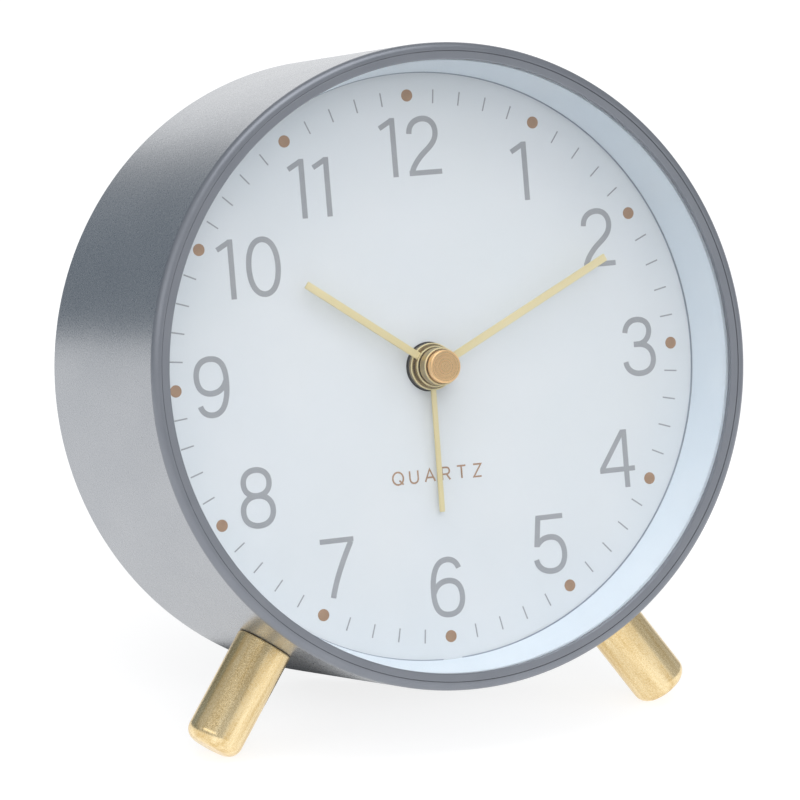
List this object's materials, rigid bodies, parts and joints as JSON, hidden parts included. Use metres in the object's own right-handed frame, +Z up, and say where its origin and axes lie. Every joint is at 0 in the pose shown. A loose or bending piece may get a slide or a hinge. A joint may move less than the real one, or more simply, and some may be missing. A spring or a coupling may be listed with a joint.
{
  "type": "desk alarm clock",
  "caption": "Round drum-cased desk alarm clock on two splayed feet, leaning back on its rear edge, with hands, quartz movement, setting knobs and battery door.",
  "frame": {"origin": "bottom centre of the object's bounding box, on the table that it stands on", "axes": "+X to the right as the dial is read, +Y from the dial towards the rear, +Z up; the clock leans back by 15.5 degrees about X"},
  "size_m": [0.09, 0.063, 0.0972],
  "materials": {
    "case_paint": "satin grey paint",
    "bezel_paint": "matte grey paint",
    "glass": "clear flat glass",
    "reveal_paint": "matte pale blue-white paint",
    "dial_paint": "matte pale blue-white paint",
    "antique_brass": "mottled antique brass",
    "gold_hand": "pale gold, brushed",
    "copper_cap": "turned copper face",
    "black_plastic": "fine texture",
    "grey_plastic": "fine texture",
    "white_plastic": "moulded acetal",
    "zinc_screw": "zinc plated",
    "steel": "bright steel",
    "lamination": "soft iron lamination",
    "ferrite": "sintered magnet",
    "copper_wire": "enamelled copper wire",
    "gear_plastic": "moulded acetal",
    "board": "green solder mask",
    "chip_epoxy": "black epoxy",
    "crystal_can": "tinned can",
    "phosphor_bronze": "phosphor bronze strip",
    "nickel_spring": "nickel plated wire",
    "cell_wrap": "printed sleeve",
    "buzzer_case": "moulded"
  },
  "bodies": {
    "clock_body": {"case_shell": "case_paint", "bezel_ring": "bezel_paint", "lens": "glass", "reveal_ring": "reveal_paint", "dial": "dial_paint", "inner_frame": "black_plastic", "foot_left": "antique_brass", "foot_right": "antique_brass", "foot_screws": "zinc_screw", "foot_washers": "zinc_screw", "rear_cover": "grey_plastic", "rear_cover_screws": "zinc_screw", "movement_front_plate": "black_plastic", "movement_rear_plate": "black_plastic", "movement_screws": "zinc_screw", "stator": "lamination", "coil_bobbin": "white_plastic", "coil_winding": "copper_wire", "snooze_dome": "phosphor_bronze", "circuit_board": "board", "circuit_board_screws": "zinc_screw", "ic_chip": "chip_epoxy", "quartz_crystal": "crystal_can", "buzzer": "buzzer_case", "battery_cell": "cell_wrap", "battery_contact_spring": "nickel_spring", "battery_contact_plate": "nickel_spring", "alarm_contact_spring": "phosphor_bronze", "alarm_friction_washer": "phosphor_bronze"},
    "minute_hand_body": {"minute_hand": "gold_hand", "minute_pipe": "steel"},
    "hour_hand_body": {"hour_hand": "gold_hand", "hour_wheel": "gear_plastic"},
    "alarm_hand_body": {"alarm_hand": "gold_hand", "alarm_wheel": "gear_plastic"},
    "time_setting_body": {"time_set_knob": "black_plastic", "minute_wheel": "gear_plastic"},
    "alarm_setting_body": {"alarm_set_knob": "black_plastic", "alarm_setting_arbor": "gear_plastic"},
    "seconds_body": {"seconds_wheel": "gear_plastic", "centre_cap": "copper_cap"},
    "third_wheel_body": {"third_wheel": "gear_plastic"},
    "centre_wheel_body": {"centre_wheel": "gear_plastic"},
    "intermediate_body": {"intermediate_wheel": "gear_plastic"},
    "rotor_body": {"rotor_pinion": "gear_plastic", "rotor_magnet": "ferrite"},
    "alarm_switch_body": {"alarm_switch_slider": "black_plastic", "switch_wiper": "phosphor_bronze"},
    "snooze_body": {"snooze_button": "black_plastic"},
    "battery_door_body": {"battery_door": "grey_plastic"}
  },
  "joints": [
    {"name": "time_set_turn", "type": "hinge", "parent": "clock_body", "child": "time_setting_body", "pos_m": [-0.00841, 0.00059, 0.05259], "axis": [0, -0.9636, 0.2674], "continuous": true},
    {"name": "minute_hand_turn", "type": "hinge", "parent": "clock_body", "child": "minute_hand_body", "pos_m": [0, -0.00046, 0.04881], "axis": [0, -0.9636, 0.2674], "continuous": true},
    {"name": "hour_hand_turn", "type": "hinge", "parent": "clock_body", "child": "hour_hand_body", "pos_m": [0, -0.00046, 0.04881], "axis": [0, -0.9636, 0.2674], "continuous": true},
    {"name": "alarm_set_turn", "type": "hinge", "parent": "clock_body", "child": "alarm_setting_body", "pos_m": [0.00888, 0.00064, 0.0528], "axis": [0, -0.9636, 0.2674], "continuous": true},
    {"name": "alarm_hand_turn", "type": "hinge", "parent": "clock_body", "child": "alarm_hand_body", "pos_m": [0, -0.00046, 0.04881], "axis": [0, -0.9636, 0.2674], "continuous": true},
    {"name": "seconds_turn", "type": "hinge", "parent": "clock_body", "child": "seconds_body", "pos_m": [0, -0.00046, 0.04881], "axis": [0, -0.9636, 0.2674], "continuous": true},
    {"name": "intermediate_turn", "type": "hinge", "parent": "clock_body", "child": "intermediate_body", "pos_m": [0, 0.00188, 0.05724], "axis": [0, -0.9636, 0.2674], "continuous": true},
    {"name": "rotor_turn", "type": "hinge", "parent": "clock_body", "child": "rotor_body", "pos_m": [0.0045, 0.00396, 0.06475], "axis": [0, -0.9636, 0.2674], "continuous": true},
    {"name": "third_turn", "type": "hinge", "parent": "clock_body", "child": "third_wheel_body", "pos_m": [0.00696, -0.00177, 0.04411], "axis": [0, -0.9636, 0.2674], "continuous": true},
    {"name": "centre_wheel_turn", "type": "hinge", "parent": "clock_body", "child": "centre_wheel_body", "pos_m": [0, -0.00046, 0.04881], "axis": [0, -0.9636, 0.2674], "continuous": true},
    {"name": "alarm_switch_slide", "type": "slide", "parent": "clock_body", "child": "alarm_switch_body", "axis": [0, 0.2674, 0.9636], "range_m": [0, 0.004]},
    {"name": "snooze_press", "type": "slide", "parent": "clock_body", "child": "snooze_body", "axis": [0, -0.9636, 0.2674], "range_m": [0, 0.0008], "stiffness_N_per_m": 900, "springref_m": -0.0004},
    {"name": "battery_door_hinge", "type": "hinge", "parent": "clock_body", "child": "battery_door_body", "pos_m": [0, 0.00911, 0.01336], "axis": [-1, 0, 0], "range_deg": [0, 95]}
  ],
  "couplings": [
    {"joint": "minute_hand_turn", "follows": "time_set_turn", "ratio": -3},
    {"joint": "hour_hand_turn", "follows": "time_set_turn", "ratio": -0.25},
    {"joint": "alarm_hand_turn", "follows": "alarm_set_turn", "ratio": -0.25},
    {"joint": "intermediate_turn", "follows": "seconds_turn", "ratio": -6},
    {"joint": "rotor_turn", "follows": "seconds_turn", "ratio": 30},
    {"joint": "third_turn", "follows": "seconds_turn", "ratio": -0.13333},
    {"joint": "centre_wheel_turn", "follows": "seconds_turn", "ratio": 0.016667}
  ]
}
